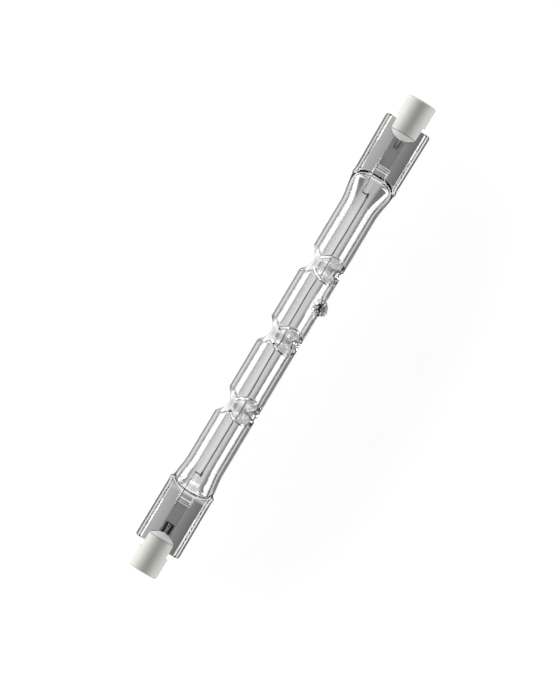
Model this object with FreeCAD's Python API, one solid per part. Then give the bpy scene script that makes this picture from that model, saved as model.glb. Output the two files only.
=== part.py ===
import FreeCAD, Part
import math
import os
from FreeCAD import Vector

# Linear halogen lamp. X runs along the lamp, Z stands square to its flat pinch seals, and
# the origin is the middle of the lamp, on its axis. "Left" is the end at -X. Distances
# named START, END, FOOT or HOOK are measured inwards from the outer face of that end's cap.

# Whole lamp
OVERALL_LENGTH = 117.6
CONTACT_RECESS = 1.7

# Quartz tube
TUBE_RADIUS = 4.35
TUBE_WALL = 1.09

# Rings of dents that hold the coil on the axis
DENT_RINGS = 3
DENTS_PER_RING = 3
DENT_PITCH = 17.65
DENT_MIDDLE = -0.25
DENT_RADIUS = 3.2
DENT_DEPTH = 1.65
DENT_WALL = 1.5
FIRST_DENT_ANGLE = 0

# Exhaust tip, melted off between the second and third dent rings; heights from the axis
TIP_X = 8.9
TIP_ANGLE = 150
TIP_FOOT_RADIUS = 2.05
TIP_FOOT_HEIGHT = 3.8
TIP_NECK_RADIUS = 1.2
TIP_NECK_HEIGHT = 4.5
TIP_BEAD_RADIUS = 1.35
TIP_BEAD_HEIGHT = 5.1
TIP_CROWN_RADIUS = 1.05
TIP_CROWN_HEIGHT = 5.85
TIP_END_RADIUS = 0.45
TIP_HEIGHT = 6.3

# Pinch seals
WEB_THICKNESS = 2.3
RIB_WIDTH = 1.45
RIB_THICKNESS = 3.2
RIB_CHAMFER = 0.45
RIB_END_CHAMFER = 0.35
LEFT_PINCH_START = 6.2
RIGHT_PINCH_START = 5.8
LEFT_PINCH_END = 21.4
RIGHT_PINCH_END = 20.7
LEFT_OUTER_WIDTH = 10.8
RIGHT_OUTER_WIDTH = 10.95
LEFT_INNER_WIDTH = 10.65
RIGHT_INNER_WIDTH = 10.4

# Shoulders, where the tube flattens and widens into the pinch
SHOULDER_STEPS = 6
SHOULDER_CROWDING = 1.4
SHOULDER_BURIAL = 0.25
LEFT_FOOT = 19.1
RIGHT_FOOT = 18.6
LEFT_SHOULDER = 4.6
RIGHT_SHOULDER = 8.0
LEFT_STEEPNESS = 2.0
RIGHT_STEEPNESS = 2.5
LEFT_FOOT_SOFTNESS = 1.0
RIGHT_FOOT_SOFTNESS = 0.0
LEFT_FLARE = 0.46
RIGHT_FLARE = 0.75
LEFT_FLARE_LENGTH = 5.4
RIGHT_FLARE_LENGTH = 6.4

# Inner end of the gas space, and the flat pocket that the pinch leaves round the inner lead
CAVITY_SETBACK = 1.1
CAVITY_TIP_HEIGHT = 0.3
CAVITY_TIP_WIDTH = 1.9
CAVITY_ROUND = 1.4
POCKET_WIDTH = 3.45
POCKET_THICKNESS = 0.7
POCKET_CORNER = 0.3
LEFT_POCKET_START = 17.1
RIGHT_POCKET_START = 16.5

# Seal foils, with thinned edges
FOIL_WIDTH = 2.9
FOIL_THICKNESS = 0.06
FOIL_EDGE_THICKNESS = 0.02
FOIL_EDGE_TAPER = 0.15
FOIL_INSET = 0.9
FOIL_POCKET_GAP = 0.2

# Lead wires, welded on the upper face of the foils
OUTER_LEAD_RADIUS = 0.375
INNER_LEAD_RADIUS = 0.15
INNER_LEAD_FOIL_OFFSET = 1.3
INNER_LEAD_HOOK_OFFSET = 1.15
INNER_LEAD_WELD = 1.3
LEFT_WELD_END = 11.8
RIGHT_WELD_END = 11.45
LEFT_HOOK = 24.3
RIGHT_HOOK = 23.4

# Filament coil, drawn as the outline of its turns
COIL_RADIUS = 0.21
COIL_OVERHANG = 0.35

# Ceramic caps
CAP_RADIUS = 3.5
CAP_REAR_RADIUS = 3.4
CAP_EDGE_CHAMFER = 0.4
CAP_BARREL_LENGTH = 8.2
CAP_DOME_LENGTH = 1.85
CAP_DOME_STEPS = 4
CAP_SLOT_START = 4.9
CAP_SLOT_WIDTH = 3.3
CAP_RECESS_RADIUS = 2.1
CAP_RECESS_DEPTH = 1.6
CEMENT_RADIUS = 3.05
CEMENT_END = 8.7

# Contact buttons
CONTACT_RADIUS = 1.7
CONTACT_HEAD = 0.8
CONTACT_CHAMFER = 0.25
SHANK_RADIUS = 0.8
SHANK_LENGTH = 1.1
SHANK_CLEARANCE = 0.1
HEAD_CLEARANCE = 0.05

HALF_LENGTH = OVERALL_LENGTH / 2
BORE_RADIUS = TUBE_RADIUS - TUBE_WALL
DENT_CENTRE = TUBE_RADIUS + DENT_RADIUS - DENT_DEPTH
WEB_HALF = WEB_THICKNESS / 2
CAP_LENGTH = CAP_BARREL_LENGTH + CAP_DOME_LENGTH
HEAD_END = CONTACT_RECESS + CONTACT_HEAD
SHANK_END = HEAD_END + SHANK_LENGTH
AXIS = Vector(1, 0, 0)


class End:
    """One end of the lamp, with the sizes that differ from end to end."""

    def __init__(self, name, side, **sizes):
        self.name = name
        self.side = side
        self.__dict__.update(sizes)
        self.crown = self.foot + self.shoulder
        self.tube_start = max(self.crown, self.pinch_end + self.flare_length)

    def x(self, s):
        """X of a point at distance s inwards from the outer face of the cap."""
        return self.side * (HALF_LENGTH - s)

    def inwards(self):
        return Vector(-self.side, 0, 0)

    def rod(self, s_from, s_to, radius, y=0.0, z=0.0):
        """Round bar along the lamp between two distances from the end."""
        start = Vector(self.x(s_from), y, z)
        return Part.makeCylinder(radius, s_to - s_from, start, self.inwards())

    def block(self, s_from, s_to, width, thickness):
        """Square bar along the lamp, centred on its axis."""
        corner = Vector(min(self.x(s_from), self.x(s_to)), -width / 2, -thickness / 2)
        return Part.makeBox(s_to - s_from, width, thickness, corner)

    def turned(self, outline):
        """Solid turned about the lamp's axis from a closed outline of (s, radius) corners."""
        face = Part.Face(Part.makePolygon([Vector(self.x(s), 0, r) for s, r in outline]))
        return face.revolve(Vector(0, 0, 0), AXIS, 360)


LEFT = End("left", -1, pinch_start=LEFT_PINCH_START, pinch_end=LEFT_PINCH_END,
           outer_width=LEFT_OUTER_WIDTH, inner_width=LEFT_INNER_WIDTH, foot=LEFT_FOOT,
           shoulder=LEFT_SHOULDER, steepness=LEFT_STEEPNESS, softness=LEFT_FOOT_SOFTNESS,
           flare=LEFT_FLARE, flare_length=LEFT_FLARE_LENGTH, pocket_start=LEFT_POCKET_START,
           weld_end=LEFT_WELD_END, hook=LEFT_HOOK)
RIGHT = End("right", 1, pinch_start=RIGHT_PINCH_START, pinch_end=RIGHT_PINCH_END,
            outer_width=RIGHT_OUTER_WIDTH, inner_width=RIGHT_INNER_WIDTH, foot=RIGHT_FOOT,
            shoulder=RIGHT_SHOULDER, steepness=RIGHT_STEEPNESS, softness=RIGHT_FOOT_SOFTNESS,
            flare=RIGHT_FLARE, flare_length=RIGHT_FLARE_LENGTH,
            pocket_start=RIGHT_POCKET_START, weld_end=RIGHT_WELD_END, hook=RIGHT_HOOK)


# Outlines across the tube

def clamp(t):
    return min(max(t, 0.0), 1.0)


def ease(t):
    """Smooth step from 0 to 1."""
    return clamp(t) ** 2 * (3 - 2 * clamp(t))


def rise(t, end):
    """Rise of a shoulder, from its foot at t = 0 to the full tube at t = 1."""
    left = 1 - clamp(t)
    return 1 - left ** end.steepness * (1 + end.steepness * end.softness * clamp(t))


def oval(x, half_width, half_height):
    """Ellipse across the lamp at x, longer across the pinch than through it."""
    middle = Vector(x, 0, 0)
    if half_width == half_height:
        curve = Part.Circle(middle, AXIS, half_width)
        curve.XAxis = Vector(0, 1, 0)
    else:
        curve = Part.Ellipse(Vector(x, half_width, 0), Vector(x, 0, half_height), middle)
    return Part.Wire(curve.toShape())


# Quartz tube and the gas space inside it

def plain_tube(radius):
    start = LEFT.x(LEFT.tube_start)
    length = RIGHT.x(RIGHT.tube_start) - start
    return Part.makeCylinder(radius, length, Vector(start, 0, 0), AXIS)


def dents(radius):
    """Round bars laid square across the tube, one for each dent that they press into it."""
    bars = []
    for i in range(DENT_RINGS):
        for k in range(DENTS_PER_RING):
            bar = Part.makeCylinder(radius, 2 * TUBE_RADIUS, Vector(0, DENT_CENTRE, -TUBE_RADIUS))
            bar.rotate(Vector(0, 0, 0), AXIS, FIRST_DENT_ANGLE + 360 * k / DENTS_PER_RING)
            bar.translate(AXIS * (DENT_MIDDLE + DENT_PITCH * (i - (DENT_RINGS - 1) / 2)))
            bars.append(bar)
    return bars


def shoulder(end, start, section):
    """Loft from start, near the pinch, to the full tube; section gives the oval at s."""
    rings = []
    for i in range(SHOULDER_STEPS + 1):
        share = (i / SHOULDER_STEPS) ** SHOULDER_CROWDING
        s = start + (end.tube_start - start) * share
        rings.append(oval(end.x(s), *section(s)))
    return Part.makeLoft(rings, True, True)


def flare(end, s):
    return end.flare * (1 - ease((s - end.pinch_end) / end.flare_length))


def outer_shoulder(end):
    """Outside of the tube's end, sunk a little into the web that it runs into."""
    def section(s):
        low = WEB_HALF - SHOULDER_BURIAL * clamp((end.foot - s) / SHOULDER_BURIAL)
        up = rise((s - end.foot) / end.shoulder, end)
        return TUBE_RADIUS + flare(end, s), low + (TUBE_RADIUS - low) * up
    return shoulder(end, end.foot - SHOULDER_BURIAL, section)


def inner_shoulder(end):
    """End of the gas space: the bore, squeezed flat towards a rounded tip."""
    start = end.foot + CAVITY_SETBACK

    def section(s):
        up = rise((s - start) / (end.crown - start), end)
        open_share = math.sqrt(1 - (1 - clamp((s - start) / CAVITY_ROUND)) ** 2)
        half_width = CAVITY_TIP_WIDTH + (BORE_RADIUS - CAVITY_TIP_WIDTH) * open_share
        half_height = CAVITY_TIP_HEIGHT + (BORE_RADIUS - CAVITY_TIP_HEIGHT) * up
        return half_width + flare(end, s) * open_share, half_height
    return shoulder(end, start, section)


def pocket(end):
    pocket_end = end.foot + CAVITY_SETBACK + CAVITY_ROUND
    slot = end.block(end.pocket_start, pocket_end, POCKET_WIDTH, POCKET_THICKNESS)
    corners = [e for e in slot.Edges if e.BoundBox.XLength > POCKET_WIDTH / 2]
    return slot.makeFillet(POCKET_CORNER, corners)


# Pinch seals

def rib(end, side):
    """Bead along one edge of the pinch, which narrows with it."""
    def outline(s, width):
        y = side * (width - RIB_WIDTH) / 2
        wide = RIB_WIDTH / 2
        high = RIB_THICKNESS / 2
        quarter = [(wide, high - RIB_CHAMFER), (wide - RIB_CHAMFER, high)]
        half = quarter + [(-across, up) for across, up in reversed(quarter)]
        corners = half + [(-across, -up) for across, up in half]
        points = [Vector(end.x(s), y + across, up) for across, up in corners]
        return Part.makePolygon(points + points[:1])
    bead = Part.makeLoft([outline(end.pinch_start, end.outer_width),
                          outline(end.pinch_end, end.inner_width)], True, True)
    ends = [f for f in bead.Faces if f.BoundBox.XLength < RIB_END_CHAMFER]
    return bead.makeChamfer(RIB_END_CHAMFER, [e for f in ends for e in f.Edges])


def web(end):
    """Flat middle of the pinch, from its outer edge into the shoulder."""
    def outline(s, width):
        half = (width - RIB_WIDTH) / 2
        corners = [Vector(end.x(s), y, z) for y, z in
                   ((-half, -WEB_HALF), (half, -WEB_HALF), (half, WEB_HALF), (-half, WEB_HALF))]
        return Part.makePolygon(corners + corners[:1])
    return Part.makeLoft([outline(end.pinch_start, end.outer_width),
                          outline(end.pinch_end, end.inner_width)], True, True)


# Exhaust tip

def exhaust_tip():
    """Stub of the pumping tube: a foot that narrows to a neck under a melted bead."""
    outline = [(0, TIP_FOOT_HEIGHT), (TIP_FOOT_RADIUS, TIP_FOOT_HEIGHT),
               (TIP_NECK_RADIUS, TIP_NECK_HEIGHT), (TIP_BEAD_RADIUS, TIP_BEAD_HEIGHT),
               (TIP_CROWN_RADIUS, TIP_CROWN_HEIGHT), (TIP_END_RADIUS, TIP_HEIGHT),
               (0, TIP_HEIGHT), (0, TIP_FOOT_HEIGHT)]
    face = Part.Face(Part.makePolygon([Vector(r, height, 0) for r, height in outline]))
    tip = face.revolve(Vector(0, 0, 0), Vector(0, 1, 0), 360)
    tip.rotate(Vector(0, 0, 0), AXIS, TIP_ANGLE)
    tip.translate(AXIS * TIP_X)
    return tip


# Metal parts inside the glass

def foil(end):
    """Thin strip with edges thinned to a feather, so that the quartz seals round them."""
    half = FOIL_WIDTH / 2
    thick = FOIL_THICKNESS / 2
    thin = FOIL_EDGE_THICKNESS / 2
    flat = half - FOIL_EDGE_TAPER
    section = [(-half, -thin), (-flat, -thick), (flat, -thick), (half, -thin),
               (half, thin), (flat, thick), (-flat, thick), (-half, thin)]
    start = end.x(end.pinch_start + FOIL_INSET)
    corners = [Vector(start, y, z) for y, z in section]
    strip = Part.Face(Part.makePolygon(corners + corners[:1]))
    return strip.extrude(end.inwards() * (foil_end(end) - end.pinch_start - FOIL_INSET))


def foil_end(end):
    return end.pocket_start - FOIL_POCKET_GAP


def outer_lead(end):
    height = FOIL_THICKNESS / 2 + OUTER_LEAD_RADIUS
    return end.rod(SHANK_END, end.weld_end, OUTER_LEAD_RADIUS, z=height)


def inner_lead(end):
    """Wire from its weld on the foil to the hook that crosses the coil."""
    height = FOIL_THICKNESS / 2 + INNER_LEAD_RADIUS
    weld = Vector(end.x(foil_end(end) - INNER_LEAD_WELD), INNER_LEAD_FOIL_OFFSET, height)
    corner = Vector(end.x(end.hook), INNER_LEAD_HOOK_OFFSET, height)
    tail = Vector(end.x(end.hook), -COIL_RADIUS, height)
    path = Part.makePolygon([weld, corner, tail])
    circle = Part.Circle(weld, corner - weld, INNER_LEAD_RADIUS)
    mitred = 1
    return path.makePipeShell([Part.Wire(circle.toShape())], True, False, mitred)


def filament():
    """Outline of the coil, which grips the hooks of both inner leads."""
    ends = [Vector(end.x(end.hook - COIL_OVERHANG), 0, 0) for end in (LEFT, RIGHT)]
    return Part.makeCylinder(COIL_RADIUS, ends[1].x - ends[0].x, ends[0], AXIS)


# End caps

def cap_body(end):
    """Turned outline of the cap: parallel in front, drawn in to the rear, with a domed end."""
    sphere = (CAP_REAR_RADIUS ** 2 + CAP_DOME_LENGTH ** 2) / (2 * CAP_DOME_LENGTH)
    opening = math.asin(CAP_REAR_RADIUS / sphere)
    outline = [(CAP_LENGTH, 0), (0, 0), (0, CAP_RADIUS - CAP_EDGE_CHAMFER),
               (CAP_EDGE_CHAMFER, CAP_RADIUS), (CAP_SLOT_START, CAP_RADIUS)]
    for i in range(CAP_DOME_STEPS):
        angle = opening * (1 - i / CAP_DOME_STEPS)
        outline.append((CAP_LENGTH - sphere * (1 - math.cos(angle)), sphere * math.sin(angle)))
    return end.turned(outline + outline[:1])


def cap_slot(end, s_to):
    return end.block(CAP_SLOT_START, s_to, 2 * CAP_RADIUS, CAP_SLOT_WIDTH)


def ceramic_cap(end):
    """Slotted cap: a recess for the holder's pin, the contact's seat and a bore behind it."""
    recess = end.rod(0, CAP_RECESS_DEPTH, CAP_RECESS_RADIUS)
    seat = end.rod(0, HEAD_END, CONTACT_RADIUS + HEAD_CLEARANCE)
    bore = end.rod(0, CAP_SLOT_START, SHANK_RADIUS + SHANK_CLEARANCE)
    return cap_body(end).cut([cap_slot(end, CAP_LENGTH), recess, seat, bore])


def cap_cement(end, lead):
    """Cement between the cap's slot and the pinch, set back from the cap's outside."""
    filling = end.rod(CAP_SLOT_START, CEMENT_END, CEMENT_RADIUS)
    return filling.common(cap_slot(end, CEMENT_END)).cut([web(end), lead])


def contact_button(end):
    """Contact with a chamfered face and a shank that the outer lead is welded to."""
    return end.turned([(CONTACT_RECESS, 0), (CONTACT_RECESS, CONTACT_RADIUS - CONTACT_CHAMFER),
                       (CONTACT_RECESS + CONTACT_CHAMFER, CONTACT_RADIUS),
                       (HEAD_END, CONTACT_RADIUS), (HEAD_END, SHANK_RADIUS),
                       (SHANK_END, SHANK_RADIUS), (SHANK_END, 0), (CONTACT_RECESS, 0)])


# The lamp put together

def quartz_envelope(metal):
    """One piece of quartz: tube, shoulders, pinches and tip, closed round the seals."""
    tube = plain_tube(TUBE_RADIUS).cut(dents(DENT_RADIUS))
    gas = plain_tube(BORE_RADIUS).cut(dents(DENT_RADIUS + DENT_WALL))
    outside = [exhaust_tip()]
    inside = []
    for end in (LEFT, RIGHT):
        outside += [outer_shoulder(end), web(end), rib(end, -1), rib(end, 1)]
        inside += [inner_shoulder(end), pocket(end)]
    return tube.multiFuse(outside).cut(gas.multiFuse(inside)).cut(metal)


def lamp():
    nodes = {}
    for end in (LEFT, RIGHT):
        nodes["seal_foil_" + end.name] = foil(end)
        nodes["outer_lead_" + end.name] = outer_lead(end)
        nodes["inner_lead_" + end.name] = inner_lead(end)
    nodes["quartz_envelope"] = quartz_envelope(list(nodes.values()))
    hooks = [nodes["inner_lead_" + end.name] for end in (LEFT, RIGHT)]
    nodes["filament_coil"] = filament().cut(hooks)
    for end in (LEFT, RIGHT):
        nodes["ceramic_cap_" + end.name] = ceramic_cap(end)
        nodes["cap_cement_" + end.name] = cap_cement(end, nodes["outer_lead_" + end.name])
        nodes["contact_button_" + end.name] = contact_button(end)
    return nodes


os.makedirs("parts", exist_ok=True)
for name, shape in lamp().items():
    solids = shape.Solids
    if len(solids) != 1 or not solids[0].isValid():
        raise ValueError(name + " is not one sound solid")
    solids[0].exportStep("parts/" + name + ".step")
    print(name, round(solids[0].Volume, 2))
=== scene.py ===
import math
from types import SimpleNamespace

import bmesh
import bpy
from mathutils import Matrix, Vector, noise


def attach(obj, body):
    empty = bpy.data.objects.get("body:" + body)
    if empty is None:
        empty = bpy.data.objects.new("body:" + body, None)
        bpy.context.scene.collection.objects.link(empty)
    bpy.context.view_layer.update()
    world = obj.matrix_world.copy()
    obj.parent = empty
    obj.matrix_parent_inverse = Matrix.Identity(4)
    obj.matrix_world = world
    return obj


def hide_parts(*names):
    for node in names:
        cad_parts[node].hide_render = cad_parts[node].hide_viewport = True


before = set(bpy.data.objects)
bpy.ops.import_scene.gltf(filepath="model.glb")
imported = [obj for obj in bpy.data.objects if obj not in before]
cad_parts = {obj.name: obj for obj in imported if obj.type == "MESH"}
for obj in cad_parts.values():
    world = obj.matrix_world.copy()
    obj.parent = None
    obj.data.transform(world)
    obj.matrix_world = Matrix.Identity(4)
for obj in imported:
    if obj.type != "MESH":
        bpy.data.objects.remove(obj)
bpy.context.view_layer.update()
scene = bpy.context.scene

# Quartz envelope
# One piece of clear fused quartz. The tube is drawn, dented in three rings to carry the coil,
# and both its ends are heated and pressed flat between jaws, which leaves a rounded bead
# along each edge of the pinch. Lengths here are millimetres, scaled when a mesh is finished.

MM = 0.001
HALF_LENGTH = 58.8
TUBE_RADIUS = 4.35
BORE_RADIUS = 3.26
DENT_RINGS = (-17.9, -0.25, 17.4)
DENT_ANGLES = (90, -30, -150)
DENT_HALF_LENGTH = 3.0
DENT_DEPTH = 1.65
DENT_GAS_HALF_LENGTH = 3.2
DENT_GAS_DEPTH = 2.3
DENT_RIM = 0.15
DENT_LEAST_LEAN = 0.1
DENT_CRUMPLE = 0.05
DENT_CRUMPLE_GRAIN = 1.1
DENT_CRUMPLE_BLEND = 0.5
WEB_HALF = 1.15
RIB_HALF = 1.6
RIB_WIDTH = 1.3
RIB_FILLET = 0.3
FOOT_FILLET = 0.2
FOOT_OVERLAP = 1
PINCH_CORNER = 0.9
PINCH_KNOB = 0.14
PINCH_KNOB_INSET = 0.4
PINCH_KNOB_SPREAD = 0.55
PINCH_END_ROUND = 0.6
CAVITY_SETBACK = 1.1
CAVITY_ROUND = 1.4
CAVITY_TIP_WIDTH = 1.9
POCKET_HALF_WIDTH = 1.725
POCKET_HALF_HEIGHT = 0.35
POCKET_END_ROUND = 0.45
POCKET_CORNER = 0.35
POCKET_TIP_SHARE = 0.05
OVAL_POWER = 2
POCKET_POWER = 3.2
OUTER_SEGMENTS = 128
INNER_SEGMENTS = 96
NOISE_SEED = 5
noise.seed_set(NOISE_SEED)

LEFT = SimpleNamespace(name="left", side=-1, pinch_start=6.2, pinch_end=21.4, outer_width=10.8,
                       inner_width=10.65, foot=19.1, shoulder=4.6, steepness=2.0, softness=1.0,
                       flare=0.46, flare_length=5.4, pocket_start=17.1, hook=24.3)
RIGHT = SimpleNamespace(name="right", side=1, pinch_start=5.8, pinch_end=20.7, outer_width=10.94,
                        inner_width=10.4, foot=18.6, shoulder=8.0, steepness=2.5, softness=0.0,
                        flare=0.75, flare_length=6.4, pocket_start=16.5, hook=23.4)


def clamp(t):
    return min(max(t, 0.0), 1.0)


def ease(t):
    return clamp(t) ** 2 * (3 - 2 * clamp(t))


def soft_max(a, b, softness):
    if softness <= 0:
        return max(a, b)
    near = max(softness - abs(a - b), 0) / softness
    return max(a, b) + near * near * softness / 4


def rise(t, end):
    left = 1 - clamp(t)
    return 1 - left ** end.steepness * (1 + end.steepness * end.softness * clamp(t))


def nearest_end(x):
    """The end that a point along the lamp belongs to, and how far in it lies from that end."""
    return (LEFT if x < 0 else RIGHT), HALF_LENGTH - abs(x)


def flare(end, s):
    return end.flare * (1 - ease((s - end.pinch_end) / end.flare_length))


def shoulder_height(end, s):
    return WEB_HALF + (TUBE_RADIUS - WEB_HALF) * rise((s - end.foot) / end.shoulder, end)


def dented(x, y, z, round_radius, depth, half_length):
    """A point on the tube pressed in by the presses of the dent ring that it lies in."""
    radius = math.hypot(y, z)
    angle = math.atan2(y, z)
    off = min(abs(x - middle) for middle in DENT_RINGS) / half_length
    pressed = 0
    if off < 1:
        flat = round_radius + DENT_RIM - (depth + DENT_RIM) * (1 - off ** 2)
        for dent in DENT_ANGLES:
            lean = math.cos(angle - math.radians(dent))
            if lean > DENT_LEAST_LEAN:
                free = radius
                radius = -soft_max(-radius, -flat / lean, DENT_RIM)
                pressed = max(pressed, ease((free - radius) / DENT_CRUMPLE_BLEND))
    point = Vector((x, radius * math.sin(angle), radius * math.cos(angle)))
    return point + noise.noise_vector(point * DENT_CRUMPLE_GRAIN) * DENT_CRUMPLE * pressed


def outer_skin(x, across, up):
    """Outside of the quartz at x, in the direction given by a point on a circle."""
    end, s = nearest_end(x)
    pinched = ease((end.pinch_end + PINCH_CORNER / 2 - s) / PINCH_CORNER)
    run = (s - end.pinch_start) / (end.pinch_end - end.pinch_start)
    pinch_width = (end.outer_width + (end.inner_width - end.outer_width) * run) / 2
    oval_width = TUBE_RADIUS + flare(end, s)
    oval_height = shoulder_height(end, s)
    knob = PINCH_KNOB * math.exp(-((s - end.pinch_end + PINCH_KNOB_INSET) / PINCH_KNOB_SPREAD) ** 2)
    half_width = oval_width + (pinch_width - oval_width) * pinched + knob
    y = half_width * across
    rib_middle = half_width - RIB_WIDTH / 2
    rib = RIB_HALF * math.sqrt(max(1 - ((abs(y) - rib_middle) / (RIB_WIDTH / 2)) ** 2, 0))
    between_ribs = abs(y) < rib_middle
    plate = (soft_max(rib, WEB_HALF, RIB_FILLET) if between_ribs else rib) * pinched
    oval = oval_height * math.sqrt(max(1 - (y / oval_width) ** 2, 0))
    fillet = FOOT_FILLET * pinched * between_ribs
    height = soft_max(plate, oval, fillet) if s > end.foot - FOOT_OVERLAP else plate
    z = math.copysign(height, up)
    round_off = clamp((end.pinch_start + PINCH_END_ROUND - s) / PINCH_END_ROUND)
    drawn_in = PINCH_END_ROUND * (1 - math.sqrt(1 - round_off ** 2))
    y -= math.copysign(drawn_in, y) * abs(across)
    z -= math.copysign(min(drawn_in, abs(z)), z) * (1 - abs(across))
    return dented(x, y, z, TUBE_RADIUS, DENT_DEPTH, DENT_HALF_LENGTH)


def inner_skin(x, across, up):
    """Wall of the gas space, with the flat pocket round the inner lead at each end."""
    end, s = nearest_end(x)
    start = end.foot + CAVITY_SETBACK
    width_share = math.sqrt(1 - (1 - clamp((s - start) / CAVITY_ROUND)) ** 2)
    half_width = CAVITY_TIP_WIDTH + (BORE_RADIUS + flare(end, s) - CAVITY_TIP_WIDTH) * width_share
    half_height = shoulder_height(end, s) - TUBE_RADIUS + BORE_RADIUS
    if s < start:
        sunk = math.sqrt(1 - (1 - clamp((s - end.pocket_start) / POCKET_END_ROUND)) ** 2)
        half_width = POCKET_HALF_WIDTH - POCKET_CORNER * (1 - sunk)
        half_height = POCKET_HALF_HEIGHT * max(sunk, POCKET_TIP_SHARE)
    else:
        half_height = max(half_height, POCKET_HALF_HEIGHT)
    square = POCKET_POWER + (OVAL_POWER - POCKET_POWER) * ease((s - start) / CAVITY_ROUND)
    y = half_width * across
    z = half_height * max(1 - abs(across) ** square, 0) ** (1 / square)
    return dented(x, y, math.copysign(z, up), BORE_RADIUS, DENT_GAS_DEPTH, DENT_GAS_HALF_LENGTH)


TIP_X = 9.3
TIP_ANGLE = math.radians(-60)
TIP_FOOT = 2.6
TIP_BLEND = 0.2
TIP_CREASE = 0.1
TIP_PROFILE = ((0, 0, 5.9), (0.12, 0.6, 5.85), (0.25, 1.1, 5.7), (0.38, 1.5, 5.45), (0.5, 1.75, 5.15),
               (0.6, 1.8, 4.95), (0.7, 1.72, 4.7), (0.8, 1.8, 4.45), (0.9, 2.15, 4.2), (1, TIP_FOOT, 4.0))
TIP_CRUMPLE = 0.36
TIP_GRAIN = 1.2
TIP_FINE_GRAIN = 2.9
TIP_REACH = 5.66
TIP_HOLLOW = 1.0
TIP_HOLLOW_DEPTH = 0.5
STEP_PINCH_END = 0.05
STEP_PINCH = 0.7
STEP_POCKET_END = 0.07
STEP_SHOULDER = 0.14
STEP_BENT = 0.18
STEP_TUBE = 0.9
NEAR_POCKET_END = 0.5
PAST_POCKET_END = 0.55
PAST_SHOULDER = 1
NEAR_DENT = 4.2
NEAR_TIP = 1.15 * TIP_FOOT
SEAM_GAP = 1e-5


def spacing(x):
    """Distance to the next ring of points: closest where the quartz bends most."""
    end, s = nearest_end(x)
    if s < end.pinch_start + PINCH_END_ROUND + STEP_PINCH_END:
        return STEP_PINCH_END
    if s < end.pocket_start - NEAR_POCKET_END:
        return STEP_PINCH
    if abs(s - end.pocket_start) < PAST_POCKET_END:
        return STEP_POCKET_END
    if s < end.foot + end.shoulder + PAST_SHOULDER:
        return STEP_SHOULDER
    off_ring = min(abs(x - middle) for middle in DENT_RINGS)
    return STEP_BENT if off_ring < NEAR_DENT or abs(x - TIP_X) < NEAR_TIP else STEP_TUBE


def skin(start, stop, segments, shape):
    """A grid wrapped round the lamp, closed at both ends, each of its points put where shape says."""
    places = [start]
    while places[-1] < stop:
        places.append(places[-1] + spacing(places[-1]))
    places[-1] = stop
    mesh = bmesh.new()
    last = len(places) - 1
    grid = bmesh.ops.create_grid(mesh, x_segments=last, y_segments=segments, size=1)["verts"]
    seam = [point for point in grid if abs(point.co.y) > 1 - 1 / segments]
    for point in grid:
        turn = math.pi * point.co.y
        point.co = shape(places[round((point.co.x + 1) / 2 * last)], math.sin(turn), math.cos(turn))
    bmesh.ops.remove_doubles(mesh, verts=seam, dist=SEAM_GAP)
    bmesh.ops.holes_fill(mesh, edges=[edge for edge in mesh.edges if edge.is_boundary], sides=segments)
    bmesh.ops.recalc_face_normals(mesh, faces=mesh.faces)
    return mesh


def from_tip(point):
    """How far a point on the tube lies along and round it from the pumping hole under the tip."""
    off = math.atan2(point.y, point.z) - TIP_ANGLE
    off = (off + math.pi) % math.tau - math.pi
    return Vector((point.x - TIP_X, math.hypot(point.y, point.z) * off))


def tip_point(away):
    """Place on the crumpled exhaust tip of a point that lay this far from the pumping hole."""
    share = away.length / TIP_FOOT
    for (low, narrow, high), (full, wide, deep) in zip(TIP_PROFILE, TIP_PROFILE[1:]):
        if share <= full:
            part = (share - low) / (full - low)
            radius, height = narrow + (wide - narrow) * part, high + (deep - high) * part
            break
    turned = away.normalized() * radius
    off_tube = ease((1 - share) / TIP_BLEND)
    creased = ease((1 - share) / TIP_CREASE)
    height = off_tube * height + (1 - off_tube) * math.sqrt(TUBE_RADIUS ** 2 - turned.y ** 2)
    point = Vector((turned.x, turned.y, height))
    crumple = noise.noise_vector(point * TIP_GRAIN) + noise.noise_vector(point * TIP_FINE_GRAIN) / 2
    return point + crumple * TIP_CRUMPLE * creased


envelope = skin(LEFT.pinch_start - HALF_LENGTH, HALF_LENGTH - RIGHT.pinch_start, OUTER_SEGMENTS, outer_skin)
near_tip = [edge for edge in envelope.edges if all(from_tip(v.co).length < TIP_FOOT for v in edge.verts)]
bmesh.ops.subdivide_edges(envelope, edges=near_tip, cuts=1, use_grid_fill=True)
upright = Matrix.Translation((TIP_X, 0, 0)) @ Matrix.Rotation(-TIP_ANGLE, 4, "X")
for point in envelope.verts:
    away = from_tip(point.co)
    if away.length < TIP_FOOT:
        point.co = upright @ tip_point(away)
        point.co.y = max(point.co.y, -TIP_REACH)
gas = skin(LEFT.pocket_start - HALF_LENGTH, HALF_LENGTH - RIGHT.pocket_start, INNER_SEGMENTS, inner_skin)
for point in gas.verts:
    hollow = ease(1 - from_tip(point.co).length / TIP_HOLLOW)
    point.co.yz *= 1 + hollow * TIP_HOLLOW_DEPTH / BORE_RADIUS
bmesh.ops.reverse_faces(gas, faces=gas.faces)
gas_wall = bpy.data.meshes.new("gas_wall")
gas.to_mesh(gas_wall)
gas.free()
envelope.from_mesh(gas_wall)


def finished(mesh, name, scale=MM, sharp=40):
    """Turns a bmesh in millimetres into an object of the scene, in metres and smooth."""
    bmesh.ops.scale(mesh, verts=mesh.verts, vec=(scale, scale, scale))
    for face in mesh.faces:
        face.smooth = True
    data = bpy.data.meshes.new(name)
    mesh.to_mesh(data)
    mesh.free()
    data.set_sharp_from_angle(angle=math.radians(sharp))
    made = bpy.data.objects.new(name, data)
    scene.collection.objects.link(made)
    return made


quartz_envelope = finished(envelope, "glass_envelope")


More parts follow.
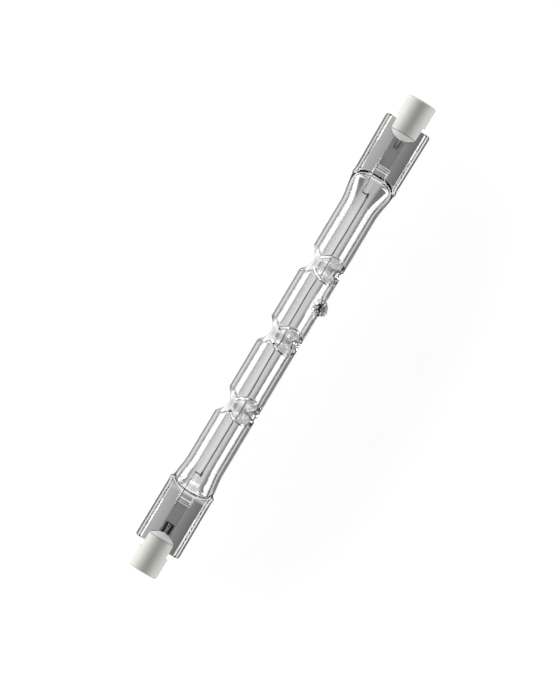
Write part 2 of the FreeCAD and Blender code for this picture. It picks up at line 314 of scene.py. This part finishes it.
def added(tree, kind, *ordered, **named):
    """Adds a node with its settings. Its sockets, in order or by name, take a wire or a value each.

    A socket that is given None keeps its own value.
    """
    node = tree.nodes.new(kind)
    for name in [name for name in named if hasattr(node, name)]:
        setattr(node, name, named.pop(name))
    by_name = [(node.inputs[name], source) for name, source in named.items()]
    for socket, source in [*zip(node.inputs, ordered), *by_name]:
        if isinstance(source, bpy.types.NodeSocket):
            tree.links.new(source, socket)
        elif source is not None:
            socket.default_value = (*source, 1) if socket.type == "RGBA" else source
    return node.outputs


def number(tree, operation, *sources):
    """What one Math node works out."""
    return added(tree, "ShaderNodeMath", *sources, operation=operation)[0]


def fade(tree, source, span, levels=(0.0, 1.0)):
    """Goes from the first level to the second while the source goes along the span."""
    return added(tree, "ShaderNodeMapRange", source, *span, *levels)[0]


def times(tree, one, other):
    return number(tree, "MULTIPLY", one, other)


def mixed(tree, share, one, other):
    """Goes from one colour to the other. Five sockets for other kinds of value come before them."""
    return added(tree, "ShaderNodeMix", share, *[None] * 5, one, other, data_type="RGBA")[2]


def scaled(tree, colour, share):
    """A colour times a number."""
    return added(tree, "ShaderNodeVectorMath", colour, Scale=share, operation="SCALE")[0]


def coordinates(tree):
    """X, Y and Z of a point of a piece, in metres."""
    return added(tree, "ShaderNodeSeparateXYZ", added(tree, "ShaderNodeTexCoord")["Object"])


def mm(*places):
    """Places in millimetres as the metres of Object coordinates."""
    return tuple(MM * place for place in places)


def off_line(tree, source, place):
    """How far the size of a coordinate is from a place in millimetres."""
    return number(tree, "ABSOLUTE", number(tree, "SUBTRACT", number(tree, "ABSOLUTE", source), place * MM))


def line(tree, source, place, half):
    """A thin soft line where the size of a coordinate passes a place in millimetres."""
    return fade(tree, off_line(tree, source, place), mm(half, half / 2))


def material(name):
    """A new node material, its tree and its shader."""
    made = bpy.data.materials.new(name)
    made.use_nodes = True
    return made, made.node_tree, made.node_tree.nodes["Principled BSDF"]


grain_group = bpy.data.node_groups.new("fine_grain", "ShaderNodeTree")
for name, kind in (("Stretch", "Vector"), ("Detail", "Float"), ("Dark", "Color"), ("Light", "Color"),
                   ("Relief", "Float"), ("Depth", "Float")):
    grain_group.interface.new_socket(name, in_out="INPUT", socket_type="NodeSocket" + kind)
for name, kind in (("Colour", "Color"), ("Mask", "Float"), ("Normal", "Vector")):
    grain_group.interface.new_socket(name, in_out="OUTPUT", socket_type="NodeSocket" + kind)
given = added(grain_group, "NodeGroupInput")
place = added(grain_group, "ShaderNodeTexCoord")["Object"]
stretched = added(grain_group, "ShaderNodeMapping", Vector=place, Scale=given["Stretch"])[0]
grain = added(grain_group, "ShaderNodeTexNoise", Vector=stretched, Scale=1.0, Detail=given["Detail"])[0]
tone = mixed(grain_group, grain, given["Dark"], given["Light"])
relief = added(grain_group, "ShaderNodeBump", Strength=given["Relief"], Distance=given["Depth"],
               Height=grain)[0]
added(grain_group, "NodeGroupOutput", Colour=tone, Mask=grain, Normal=relief)


def grained(tree, stretch, detail, dark, light, relief, depth):
    """Places the fine grain in a material, with that material's own values."""
    node = tree.nodes.new("ShaderNodeGroup")
    node.node_tree = grain_group
    values = (("Stretch", stretch), ("Detail", detail), ("Dark", (*dark, 1)), ("Light", (*light, 1)),
              ("Relief", relief), ("Depth", depth))
    for socket, value in values:
        node.inputs[socket].default_value = value
    return node.outputs


QUARTZ_CLEAR = (1.0, 1.0, 1.0)
# Painted shade: a dark outline where the glass is seen edge-on, lighter on the +Y side of the tube as if
# lit from that side.
EDGE_ON_SHADE = (0.03, 0.032, 0.033)
EDGE_ON_SHADE_LIT_SIDE = (0.16, 0.164, 0.165)
# Painted shade: the web of each pinch is painted grey, though the quartz is clear. It is darker towards -Y
# than towards +Y, and lighter over the outer part of each foil.
WEB_SHADE_LIGHT = (0.66, 0.67, 0.66)
WEB_SHADE_DARK = (0.20, 0.21, 0.205)
WEB_SHADE_SIDES_Y = (-4.2, 4.2)
PINCH_SHADE_X = (39.3, 40.0)
WEB_SHADE_Y = (4.2, 3.9)
WEB_SHADE_Z = (0.6, 0.8)
FOIL_SHADE_X = (41.7, 42.1)
FOIL_SHADE_Y = (1.55, 1.4)
FOIL_SHADE_LEVEL = 0.42
# Places of thin painted highlights along the pocket's end, fold and sides, which are left clear of the
# painted web shade.
POCKET_MIDDLE = (LEFT.pocket_start - RIGHT.pocket_start) / 2
POCKET_END = HALF_LENGTH - (LEFT.pocket_start + RIGHT.pocket_start) / 2
POCKET_FOLD_SETBACK = 1
POCKET_SIDE = 1.6
POCKET_LINE_HALF = 0.2
POCKET_LINE_X = (POCKET_END + 0.1, POCKET_END)
POCKET_LINE_Y = (1.5, 1.4)
TIP_CENTRE_HEIGHT = 5.0
TIP_CLEAR = (2.3, 2.9)
TIP_ROUGHNESS = 0.12
QUARTZ_ROUGHNESS = 0.01
RIM_SIDES_Y = (-1, 1)
RIM_FACING = (0.43, 0.48)
RIM_BLEND = 0.1
RIB_FACING = 0.12
RIB_RIM_X = (38.5, 40.0)
RIB_RIM_Y = (4.4, 4.7)
LIGHT_EDGE_X = (38.5, 37.5)

quartz, tree, shader = material("quartz")
axes = coordinates(tree)
along = number(tree, "ABSOLUTE", axes["X"])
across = number(tree, "ABSOLUTE", axes["Y"])
up = number(tree, "ABSOLUTE", axes["Z"])
from_middle = number(tree, "SUBTRACT", axes["X"], POCKET_MIDDLE * MM)

# Painted shade of the web: it falls only on the flat faces between the ribs, is less over the foil's outer
# part, and is left off along the painted highlight lines below.
web_shade = times(tree, fade(tree, across, mm(*WEB_SHADE_Y)), fade(tree, up, mm(*WEB_SHADE_Z)))
over_foil = times(tree, fade(tree, across, mm(*FOIL_SHADE_Y)), fade(tree, along, mm(*FOIL_SHADE_X)))
web_shade = times(tree, web_shade, fade(tree, over_foil, (0, 1), (1.0, FOIL_SHADE_LEVEL)))
# Painted highlights: thin lines along the pocket's end, its fold and its sides take the painted shade off
# the web.
line_ends = fade(tree, across, mm(*POCKET_LINE_Y))
pocket_end = times(tree, line(tree, from_middle, POCKET_END, POCKET_LINE_HALF), line_ends)
pocket_fold = line(tree, from_middle, POCKET_END - POCKET_FOLD_SETBACK, POCKET_LINE_HALF)
pocket_fold = times(tree, pocket_fold, line_ends)
pocket_side = times(tree, line(tree, axes["Y"], POCKET_SIDE, POCKET_LINE_HALF),
                    fade(tree, number(tree, "ABSOLUTE", from_middle), mm(*POCKET_LINE_X)))
painted_light_lines = number(tree, "MAXIMUM", number(tree, "MAXIMUM", pocket_end, pocket_side), pocket_fold)
web_shade = times(tree, web_shade, fade(tree, painted_light_lines, (0, 1), (1.0, 0.0)))
grey = mixed(tree, fade(tree, axes["Y"], mm(*WEB_SHADE_SIDES_Y)), WEB_SHADE_DARK, WEB_SHADE_LIGHT)
painted_web_shade = times(tree, fade(tree, along, mm(*PINCH_SHADE_X)), web_shade)
shaded_quartz = mixed(tree, painted_web_shade, QUARTZ_CLEAR, grey)

place = added(tree, "ShaderNodeTexCoord")["Object"]
tip_centre = tuple(MM * v for v in upright @ Vector((0, 0, TIP_CENTRE_HEIGHT)))
to_tip = added(tree, "ShaderNodeVectorMath", place, tip_centre, operation="DISTANCE")["Value"]
# Painted shade: the base colour turns dark where the glass is seen edge-on. It starts sooner on the -Y side
# and on the outer edges of the ribs, is lighter on the +Y side of the tube, and is left off round the tip.
facing = added(tree, "ShaderNodeLayerWeight", Blend=0.5)["Facing"]
upper_side = fade(tree, axes["Y"], mm(*RIM_SIDES_Y))
outer_rib = times(tree, fade(tree, along, mm(*RIB_RIM_X)), fade(tree, across, mm(*RIB_RIM_Y)))
rim_from = fade(tree, outer_rib, (0, 1), (fade(tree, upper_side, (0, 1), RIM_FACING), RIB_FACING))
edge_on = fade(tree, facing, (rim_from, number(tree, "ADD", rim_from, RIM_BLEND)))
edge = mixed(tree, times(tree, upper_side, fade(tree, along, mm(*LIGHT_EDGE_X))),
             EDGE_ON_SHADE, EDGE_ON_SHADE_LIT_SIDE)
shade = mixed(tree, times(tree, edge_on, fade(tree, to_tip, mm(*TIP_CLEAR))), shaded_quartz, edge)
roughness = fade(tree, to_tip, mm(*TIP_CLEAR), (TIP_ROUGHNESS, QUARTZ_ROUGHNESS))
streaks = grained(tree, stretch=(60, 400, 400), detail=2.0, dark=QUARTZ_CLEAR, light=QUARTZ_CLEAR,
                  relief=0.04, depth=0.00015)
tree.links.new(shade, shader.inputs["Base Color"])
tree.links.new(roughness, shader.inputs["Roughness"])
tree.links.new(streaks["Normal"], shader.inputs["Normal"])
shader.inputs["IOR"].default_value = 1.46
shader.inputs["Transmission Weight"].default_value = 1.0
quartz_envelope.data.materials.append(quartz)
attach(quartz_envelope, "root")
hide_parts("quartz_envelope")

# Seal foils
# Ribbons of rolled molybdenum, thinned to a feather at the edges, one pinched into the quartz
# at each end. They carry the current through the glass, and the leads are welded on them.

# Painted shade: each foil is painted near black in a patch round the outer lead's weld, towards the cap.
WELD_SHADE = (0.06, 0.06, 0.06)
LEFT_SHADE_X = (-46.5, -46.9)
LEFT_SHADE_Y = (1.1, 0.9)
RIGHT_SHADE_X = (47.0, 47.3)
RIGHT_SHADE_Y = (0.6, 0.4)

rolled, tree, shader = material("rolled_molybdenum")
sheen = grained(tree, stretch=(300, 2600, 300), detail=3.0, dark=(0.80, 0.81, 0.80),
                light=(0.95, 0.96, 0.95), relief=0.3, depth=0.00002)
axes = coordinates(tree)
across = number(tree, "ABSOLUTE", axes["Y"])
# Painted shade on the foil round each weld.
left_weld_shade = times(tree, fade(tree, axes["X"], mm(*LEFT_SHADE_X)), fade(tree, across, mm(*LEFT_SHADE_Y)))
right_weld_shade = times(tree, fade(tree, axes["X"], mm(*RIGHT_SHADE_X)), fade(tree, across, mm(*RIGHT_SHADE_Y)))
weld_shade_mask = number(tree, "MAXIMUM", left_weld_shade, right_weld_shade)
tree.links.new(mixed(tree, weld_shade_mask, sheen["Colour"], WELD_SHADE), shader.inputs["Base Color"])
tree.links.new(sheen["Normal"], shader.inputs["Normal"])
shader.inputs["Metallic"].default_value = 0.15
shader.inputs["Roughness"].default_value = 0.5
for name in ("seal_foil_left", "seal_foil_right"):
    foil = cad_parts[name]
    foil.data.materials.clear()
    foil.data.materials.append(rolled)

# Lead wires
# Drawn molybdenum wire, spot-welded on the foils. The thick outer leads run out to the contacts,
# and each thin inner lead ends in a hook that carries the coil.

# Painted light on the wires: a white highlight line is painted 0.2 mm to each side of the middle, and the
# middle itself is painted dark as painted shade.
HIGHLIGHT_Y = 0.2
HIGHLIGHT_FADE = (0.11, 0.07)
DARK_MIDDLE_Y = (0.2, 0.12)
DARK_MIDDLE_LEVEL = 0.1

drawn, tree, shader = material("drawn_molybdenum")
marks = grained(tree, stretch=(400, 2000, 2000), detail=2.0, dark=(0.30, 0.30, 0.30),
                light=(0.45, 0.45, 0.44), relief=0.1, depth=0.00002)
axes = coordinates(tree)
# Painted shade along the middle of the wire, and painted white highlight lines beside it.
painted_dark_middle = fade(tree, number(tree, "ABSOLUTE", axes["Y"]), mm(*DARK_MIDDLE_Y), (1.0, DARK_MIDDLE_LEVEL))
painted_highlight = fade(tree, off_line(tree, axes["Y"], HIGHLIGHT_Y), mm(*HIGHLIGHT_FADE))
painted_wire_light = mixed(tree, painted_highlight, scaled(tree, marks["Colour"], painted_dark_middle), (1, 1, 1))
tree.links.new(painted_wire_light, shader.inputs["Base Color"])
tree.links.new(marks["Normal"], shader.inputs["Normal"])
shader.inputs["Metallic"].default_value = 1.0
shader.inputs["Roughness"].default_value = 0.1
for name in ("outer_lead_left", "outer_lead_right", "inner_lead_left", "inner_lead_right"):
    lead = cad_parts[name]
    lead.data.materials.clear()
    lead.data.materials.append(drawn)

# Filament coil
# Tungsten wire wound on a mandrel into one long coil. It hangs between the hooks of the inner
# leads, rests on the dents and has sagged a little off the axis since it was first lit.

COIL_RADIUS = 0.115
WIRE_RADIUS = 0.045
COIL_PITCH = 0.15
COIL_OVERHANG = 0.35
COIL_FROM = LEFT.hook - HALF_LENGTH - COIL_OVERHANG
COIL_TO = HALF_LENGTH - RIGHT.hook + COIL_OVERHANG
WIRE_SEGMENTS = 5
TURN_STEPS = 9
TURN_GAP = 0.001
END_WINDING = 1.1
END_WINDING_BLEND = 0.15
END_WINDING_GROWTH = 0.9
SAG = ((-35, -0.25), (-23.1, -0.3), (-13.4, -0.3), (-5.9, -0.15), (4.8, 0.05), (11.3, 0.1), (15.6, -0.06),
       (22.0, -0.21), (26.3, -0.3), (32.8, -0.3), (36, -0.2))


def sag(x):
    """How far the coil lies off the lamp's axis in Y."""
    for (left, low), (right, high) in zip(SAG, SAG[1:]):
        if x <= right:
            return low + (high - low) * ease((x - left) / (right - left))
    return SAG[-1][1]


turn = bmesh.new()
on_mandrel = Matrix.Translation((COIL_FROM, 0, COIL_RADIUS)) @ Matrix.Rotation(math.radians(90), 4, "X")
bmesh.ops.create_circle(turn, segments=WIRE_SEGMENTS, radius=WIRE_RADIUS, matrix=on_mandrel)
bmesh.ops.spin(turn, geom=turn.verts[:] + turn.edges[:], cent=(0, 0, 0), axis=(1, 0, 0),
               dvec=(COIL_PITCH / TURN_STEPS, 0, 0), angle=math.tau, steps=TURN_STEPS)
one_turn = finished(turn, "one_turn", scale=1)
wound = one_turn.modifiers.new("winding", "ARRAY")
wound.count = round((COIL_TO - COIL_FROM) / COIL_PITCH)
wound.use_relative_offset = False
wound.use_constant_offset = True
wound.constant_offset_displace = (COIL_PITCH, 0, 0)
wound.use_merge_vertices = True
wound.merge_threshold = TURN_GAP
coil = bmesh.new()
coil.from_mesh(one_turn.evaluated_get(bpy.context.evaluated_depsgraph_get()).to_mesh())
bpy.data.objects.remove(one_turn)
bmesh.ops.holes_fill(coil, edges=[edge for edge in coil.edges if edge.is_boundary])
bmesh.ops.recalc_face_normals(coil, faces=coil.faces)
for point in coil.verts:
    to_end = min(point.co.x - COIL_FROM, COIL_TO - point.co.x)
    point.co.yz *= 1 + END_WINDING_GROWTH * ease((END_WINDING - to_end) / END_WINDING_BLEND)
    point.co.y += sag(point.co.x)
filament = finished(coil, "filament_turns")
tungsten, tree, shader = material("drawn_tungsten")
sooted = grained(tree, stretch=(3000, 3000, 3000), detail=2.0, dark=(0.05, 0.05, 0.052),
                 light=(0.14, 0.14, 0.14), relief=0.1, depth=0.00001)
tree.links.new(sooted["Colour"], shader.inputs["Base Color"])
tree.links.new(sooted["Normal"], shader.inputs["Normal"])
shader.inputs["Metallic"].default_value = 0.9
shader.inputs["Roughness"].default_value = 0.5
filament.data.materials.append(tungsten)
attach(filament, "root")
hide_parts("filament_coil")

# Ceramic caps
# Slotted thimbles of pressed and fired steatite, pushed over the ends of the pinch. The flat
# outer face has a recess in which the contact sits, and the rear end is domed.

CAP_RADIUS = 3.5
CAP_REAR_RADIUS = 3.4
CAP_EDGE_ROUND = 0.4
CAP_SLOT_START = 4.9
CAP_BARREL = 8.2
CAP_DOME = 1.85
CAP_LENGTH = CAP_BARREL + CAP_DOME
CAP_SLOT_HALF = 1.65
CAP_SLOT_EDGE = 0.12
RECESS_RADIUS = 2.1
RECESS_DEPTH = 1.6
RECESS_EDGE_ROUND = 0.15
SEAT_RADIUS = 1.75
SEAT_DEPTH = 2.5
CUTTER_LENGTH = 12
CUTTER_WIDTH = 9
# Painted light: the dome is painted near white, lighter than the barrel.
DOME_PAINTED_LIGHT = (0.97, 0.97, 0.96)
DOME_LIGHT_SETBACK = (0.1, 0.2)
# Painted shade: a thin dark line where the barrel meets the dome.
CREASE_SHADE = (0.52, 0.52, 0.50)
CREASE_SHADE_HALF = 0.16
OUTLINE_GAP = 1e-4
CAP_SEGMENTS = 96
CAP_SHARP_ANGLE = 25
CAP_SLOT_EDGE_ANGLE = 50


def turned(outline, steps):
    """A solid turned about the lamp's axis from (distance in, radius) points, closed at both ends."""
    mesh = bmesh.new()
    points = [mesh.verts.new((s, 0, r)) for s, r in outline]
    edges = [mesh.edges.new(pair) for pair in zip(points, points[1:])]
    bmesh.ops.spin(mesh, geom=points + edges, cent=(0, 0, 0), axis=(1, 0, 0), angle=math.tau,
                   steps=steps, use_merge=True)
    bmesh.ops.remove_doubles(mesh, verts=mesh.verts, dist=OUTLINE_GAP)
    bmesh.ops.recalc_face_normals(mesh, faces=mesh.faces)
    return mesh


def arc(s, r, radius, start, stop, steps):
    """Points of a round in a turned outline, about (s, r), from one angle to another."""
    angles = [math.radians(start + (stop - start) * i / steps) for i in range(steps + 1)]
    return [(s + radius * math.cos(a), r + radius * math.sin(a)) for a in angles]


def put_on(mesh, end):
    """Moves a part made with its outer face at zero to its place at one end of the lamp."""
    if end.side > 0:
        bmesh.ops.rotate(mesh, verts=mesh.verts, cent=(0, 0, 0), matrix=Matrix.Rotation(math.pi, 3, "Z"))
    bmesh.ops.translate(mesh, verts=mesh.verts, vec=(end.side * HALF_LENGTH, 0, 0))


steatite, tree, shader = material("fired_steatite")
clouds = grained(tree, stretch=(250, 250, 250), detail=2.0, dark=(0.78, 0.77, 0.71),
                 light=(0.90, 0.895, 0.86), relief=0.0, depth=0.00001)
specks = grained(tree, stretch=(2200, 2200, 2200), detail=4.0, dark=(0, 0, 0), light=(1, 1, 1),
                 relief=0.25, depth=0.00004)
axes = coordinates(tree)
# Painted light on the dome, and a thin line of painted shade where the barrel meets it.
barrel_end = HALF_LENGTH - CAP_BARREL
dome_light_x = mm(*(barrel_end - setback for setback in DOME_LIGHT_SETBACK))
on_dome = fade(tree, number(tree, "ABSOLUTE", axes["X"]), dome_light_x)
domed = mixed(tree, on_dome, clouds["Colour"], DOME_PAINTED_LIGHT)
crease_shaded = mixed(tree, line(tree, axes["X"], barrel_end, CREASE_SHADE_HALF), domed, CREASE_SHADE)
tree.links.new(crease_shaded, shader.inputs["Base Color"])
tree.links.new(specks["Normal"], shader.inputs["Normal"])
shader.inputs["Roughness"].default_value = 0.55

dome_radius = (CAP_REAR_RADIUS ** 2 + CAP_DOME ** 2) / (2 * CAP_DOME)
dome_angle = math.degrees(math.asin(CAP_REAR_RADIUS / dome_radius))
outline = ([(SEAT_DEPTH, 0), (SEAT_DEPTH, SEAT_RADIUS)]
           + [(RECESS_DEPTH, SEAT_RADIUS), (RECESS_DEPTH, RECESS_RADIUS)]
           + arc(RECESS_EDGE_ROUND, RECESS_RADIUS + RECESS_EDGE_ROUND, RECESS_EDGE_ROUND, -90, -180, 4)
           + arc(CAP_EDGE_ROUND, CAP_RADIUS - CAP_EDGE_ROUND, CAP_EDGE_ROUND, 180, 90, 8)
           + [(CAP_SLOT_START, CAP_RADIUS)]
           + arc(CAP_LENGTH - dome_radius, 0, dome_radius, dome_angle, 0, 12))
for end in (LEFT, RIGHT):
    blank = turned(outline, CAP_SEGMENTS)
    put_on(blank, end)
    cap = finished(blank, "cap_" + end.name, sharp=CAP_SHARP_ANGLE)
    cutter = bmesh.new()
    bmesh.ops.create_cube(cutter, size=1)
    bmesh.ops.scale(cutter, verts=cutter.verts, vec=(CUTTER_LENGTH, CUTTER_WIDTH, 2 * CAP_SLOT_HALF))
    bmesh.ops.translate(cutter, verts=cutter.verts, vec=(CAP_SLOT_START + CUTTER_LENGTH / 2, 0, 0))
    put_on(cutter, end)
    cutter = finished(cutter, "cap_cutter")
    slot = cap.modifiers.new("slot", "BOOLEAN")
    slot.operation = "DIFFERENCE"
    slot.solver = "EXACT"
    slot.object = cutter
    softened = cap.modifiers.new("edges", "BEVEL")
    softened.width = CAP_SLOT_EDGE * MM
    softened.segments = 3
    softened.limit_method = "ANGLE"
    softened.angle_limit = math.radians(CAP_SLOT_EDGE_ANGLE)
    shaped = bpy.data.meshes.new_from_object(cap.evaluated_get(bpy.context.evaluated_depsgraph_get()))
    cap.modifiers.clear()
    cap.data = shaped
    bpy.data.objects.remove(cutter)
    cap.data.materials.clear()
    cap.data.materials.append(steatite)
    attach(cap, "root")
    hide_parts("ceramic_cap_" + end.name)

# Cement
# A refractory cement, filled as a paste between each cap's slot and the pinch. It sets when it
# is baked, and holds the cap on.

cement, tree, shader = material("baked_cement")
sand = grained(tree, stretch=(1800, 1800, 1800), detail=5.0, dark=(0.62, 0.62, 0.60),
               light=(0.80, 0.80, 0.78), relief=0.6, depth=0.0001)
tree.links.new(sand["Colour"], shader.inputs["Base Color"])
tree.links.new(sand["Normal"], shader.inputs["Normal"])
shader.inputs["Roughness"].default_value = 0.8
for name in ("cap_cement_left", "cap_cement_right"):
    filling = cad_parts[name]
    filling.data.materials.clear()
    filling.data.materials.append(cement)

# Contact buttons
# Nickel-plated metal buttons sunk in the caps, each turned in one piece with a thin shank.
# The outer lead is welded to the shank behind the cap's face.

CONTACT_FACE = 1.7
CONTACT_RADIUS = 1.7
CONTACT_ROUND = 0.25
CONTACT_BACK = 2.5
SHANK_RADIUS = 0.8
SHANK_END = 3.6
BUTTON_SEGMENTS = 64
NICKEL_ROUGHNESS = (0.22, 0.42)

nickel, tree, shader = material("nickel_plate")
wear = grained(tree, stretch=(900, 900, 900), detail=3.0, dark=(0.52, 0.50, 0.46), light=(0.70, 0.68, 0.64),
               relief=0.1, depth=0.00002)
tree.links.new(fade(tree, wear["Mask"], (0, 1), NICKEL_ROUGHNESS), shader.inputs["Roughness"])
tree.links.new(wear["Colour"], shader.inputs["Base Color"])
tree.links.new(wear["Normal"], shader.inputs["Normal"])
shader.inputs["Metallic"].default_value = 1.0
outline = ([(CONTACT_FACE, 0)]
           + arc(CONTACT_FACE + CONTACT_ROUND, CONTACT_RADIUS - CONTACT_ROUND, CONTACT_ROUND, 180, 90, 6)
           + [(CONTACT_BACK, CONTACT_RADIUS), (CONTACT_BACK, SHANK_RADIUS)]
           + [(SHANK_END, SHANK_RADIUS), (SHANK_END, 0)])
for end in (LEFT, RIGHT):
    button = turned(outline, BUTTON_SEGMENTS)
    put_on(button, end)
    contact = finished(button, "contact_" + end.name)
    contact.data.materials.append(nickel)
    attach(contact, "root")
    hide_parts("contact_button_" + end.name)

# Studio
# The lamp lies on a white table between low soft lamps, turned across the frame, and the camera
# looks straight down. Only rays that the glass has bent see painted shade on the table: a strip of
# painted shadow under the lamp, darker behind the right shoulder, both pinches and the -Y side of
# the dent rings and lighter by the tip, and painted tones by the angle at which a ray leaves the
# table, dark far from upright as if from dark surroundings. Its tones are shares of white.

FLOOR_SIZE = 3
FLOOR_LIFT = 0.77
GLOSS_LIFT = 0.8
# Levels of the painted shadow and painted tones that only bent rays see on the table.
STRIP_Y = (-3, 3)
STRIP = ((0.0, 0.2), (0.15, 0.2), (0.3, 0.65), (0.5, 0.65), (0.55, 0.8), (0.8, 0.6), (0.9, 0.25))
BAND_UPPER = ((0.0, 0.5), (0.02, 0.95), (0.1, 0.85), (0.3, 0.5), (0.45, 0.5), (0.5, 0.15))
BAND_LOWER = ((0.0, 0.3), (0.01, 1.0), (0.05, 0.95), (0.1, 0.35), (0.2, 0.35), (0.3, 0.6), (0.45, 0.6),
              (0.5, 0.1))
BAND_SIDES_Y = (-0.5, 0.5)
BAND_FACING = (0.006, 0.010)
SHOULDER_X = (30, 36)
SHOULDER_BEHIND = 0.76
PINCH_X = (38.5, 40.0)
PINCH_BEHIND = (0.70, 0.70, 0.70)
RING_X = (2.8, 2.2)
LENS_Y = (1.2, -1.2)
LENS_BEHIND = 0.55
BY_TIP_X = (3.0, 2.4)
BY_TIP_Y = (-1.8, -2.6)
BEYOND_X = (9, 7)
BEYOND_Y = (-10, -12)
TIP_BEHIND = (0.95, 0.95, 0.95)

floor_mesh = bmesh.new()
bmesh.ops.create_grid(floor_mesh, x_segments=1, y_segments=1, size=FLOOR_SIZE)
bmesh.ops.translate(floor_mesh, verts=floor_mesh.verts, vec=(0, 0, -TUBE_RADIUS * MM))
table = finished(floor_mesh, "table", scale=1)
white, tree, shader = material("white_table")
shader.inputs["Base Color"].default_value = (0.8, 0.8, 0.8, 1)
shader.inputs["Roughness"].default_value = 1.0
shader.inputs["Specular IOR Level"].default_value = 0.0
path = added(tree, "ShaderNodeLightPath")
lift = number(tree, "MULTIPLY_ADD", path["Is Glossy Ray"], GLOSS_LIFT, path["Is Camera Ray"])
glow = added(tree, "ShaderNodeEmission", Strength=times(tree, lift, FLOOR_LIFT))[0]
lit = added(tree, "ShaderNodeAddShader", shader.outputs[0], glow)[0]
facing = added(tree, "ShaderNodeLayerWeight", Blend=0.5)["Facing"]
axes = coordinates(tree)


def painted_tones(source, levels):
    """Painted tones of the table under the lamp, by where or at what angle the light leaves it: painted
    shade that only bent rays see.
    """
    tone = added(tree, "ShaderNodeValToRGB", source)[0]
    ramp = tone.node.color_ramp
    for stop, level in levels[1:]:
        ramp.elements.new(stop).color = (level, level, level, 1)
    first, last = levels[0][1], levels[-1][1]
    ramp.elements[0].color = (first, first, first, 1)
    ramp.elements[-1].color = (last, last, last, 1)
    return tone


# Painted shadow of the lamp under it, and painted tones by angle, seen only through the glass.
strip = painted_tones(fade(tree, axes["Y"], mm(*STRIP_Y)), STRIP)
strip = scaled(tree, strip, fade(tree, axes["X"], mm(*SHOULDER_X), (1.0, SHOULDER_BEHIND)))
by_pinch = fade(tree, number(tree, "ABSOLUTE", axes["X"]), mm(*PINCH_X))
strip = mixed(tree, by_pinch, strip, PINCH_BEHIND)
to_upper_side = fade(tree, axes["Y"], mm(*BAND_SIDES_Y))
band = mixed(tree, to_upper_side, painted_tones(facing, BAND_LOWER), painted_tones(facing, BAND_UPPER))
painted_table_shade = mixed(tree, fade(tree, facing, BAND_FACING), strip, band)
in_ring = 0.0
for middle in DENT_RINGS:
    off_ring = number(tree, "ABSOLUTE", number(tree, "SUBTRACT", axes["X"], middle * MM))
    in_ring = number(tree, "MAXIMUM", in_ring, fade(tree, off_ring, mm(*RING_X)))
by_lens = times(tree, in_ring, fade(tree, axes["Y"], mm(*LENS_Y)))
painted_table_shade = scaled(tree, painted_table_shade, fade(tree, by_lens, (0, 1), (1.0, LENS_BEHIND)))
off_tip = number(tree, "ABSOLUTE", number(tree, "SUBTRACT", axes["X"], TIP_X * MM))
by_tip = times(tree, fade(tree, off_tip, mm(*BY_TIP_X)), fade(tree, axes["Y"], mm(*BY_TIP_Y)))
beyond = times(tree, fade(tree, off_tip, mm(*BEYOND_X)), fade(tree, axes["Y"], mm(*BEYOND_Y)))
painted_table_shade = mixed(tree, number(tree, "MAXIMUM", by_tip, beyond), painted_table_shade, TIP_BEHIND)
through = added(tree, "ShaderNodeEmission", Color=painted_table_shade)[0]
either = added(tree, "ShaderNodeMixShader", path["Is Transmission Ray"], lit, through)[0]
tree.links.new(either, tree.nodes["Material Output"].inputs["Surface"])
table.data.materials.append(white)

LAMP_HEIGHT = 0.13
LAMP_WIDTH = 0.25
SOFTBOXES = (((0, 0.95), 2.0, 14.0), ((0, -0.95), 2.0, 8.8), ((1.2, 0), 0.5, 2.6), ((-1.2, 0), 0.5, 2.6))
for place, length, power in SOFTBOXES:
    softbox = bpy.data.lights.new("softbox", "AREA")
    softbox.shape = "RECTANGLE"
    softbox.size = length
    softbox.size_y = LAMP_WIDTH
    softbox.energy = power
    lamp = bpy.data.objects.new("softbox", softbox)
    scene.collection.objects.link(lamp)
    lamp.location = (*place, LAMP_HEIGHT)
    lamp.rotation_euler = (-lamp.location).to_track_quat("-Z", "Y").to_euler()

ROOM_LIGHT = 0.12
REFLECTOR_LIGHT = 0.8
REFLECTOR_SPILL = 0.08
REFLECTOR_SIDE = (-0.1, -0.4)
REFLECTOR_TOP = (0.75, 0.6)
world = bpy.data.worlds.new("studio")
scene.world = world
world.use_nodes = True
tree = world.node_tree
room = tree.nodes["Background"]
room.inputs["Color"].default_value = (1, 1, 1, 1)
path = added(tree, "ShaderNodeLightPath")
toward = added(tree, "ShaderNodeSeparateXYZ", added(tree, "ShaderNodeTexCoord")["Generated"])
low = times(tree, fade(tree, toward["Y"], REFLECTOR_SIDE), fade(tree, toward["Z"], REFLECTOR_TOP))
reflector = number(tree, "MULTIPLY_ADD", low, REFLECTOR_LIGHT, REFLECTOR_SPILL)
seen = number(tree, "MULTIPLY_ADD", path["Is Transmission Ray"], reflector, path["Is Camera Ray"])
tree.links.new(fade(tree, seen, (0, 1), (ROOM_LIGHT, 1.0)), room.inputs["Strength"])

LAMP_TURN = math.radians(59.14)
PIXEL = 0.2149 * MM
PHOTO_LONG_SIDE = 680
PHOTO_MIDDLE = (280, 340)
LAMP_MIDDLE = (282.3, 336.6)
CAMERA_HEIGHT = 1.0
SENSOR = 36
right = Vector((math.cos(LAMP_TURN), -math.sin(LAMP_TURN), 0))
above = Vector((math.sin(LAMP_TURN), math.cos(LAMP_TURN), 0))
camera_data = bpy.data.cameras.new("camera")
camera_data.sensor_width = SENSOR
camera_data.lens = SENSOR * CAMERA_HEIGHT / (PHOTO_LONG_SIDE * PIXEL)
camera = bpy.data.objects.new("camera", camera_data)
scene.collection.objects.link(camera)
lamp_right = (LAMP_MIDDLE[0] - PHOTO_MIDDLE[0]) * PIXEL
lamp_above = (PHOTO_MIDDLE[1] - LAMP_MIDDLE[1]) * PIXEL
camera.location = Vector((0, 0, CAMERA_HEIGHT)) - right * lamp_right - above * lamp_above
camera.rotation_euler = (0, 0, -LAMP_TURN)
scene.camera = camera
scene.view_settings.view_transform = "Standard"

bpy.context.view_layer.update()
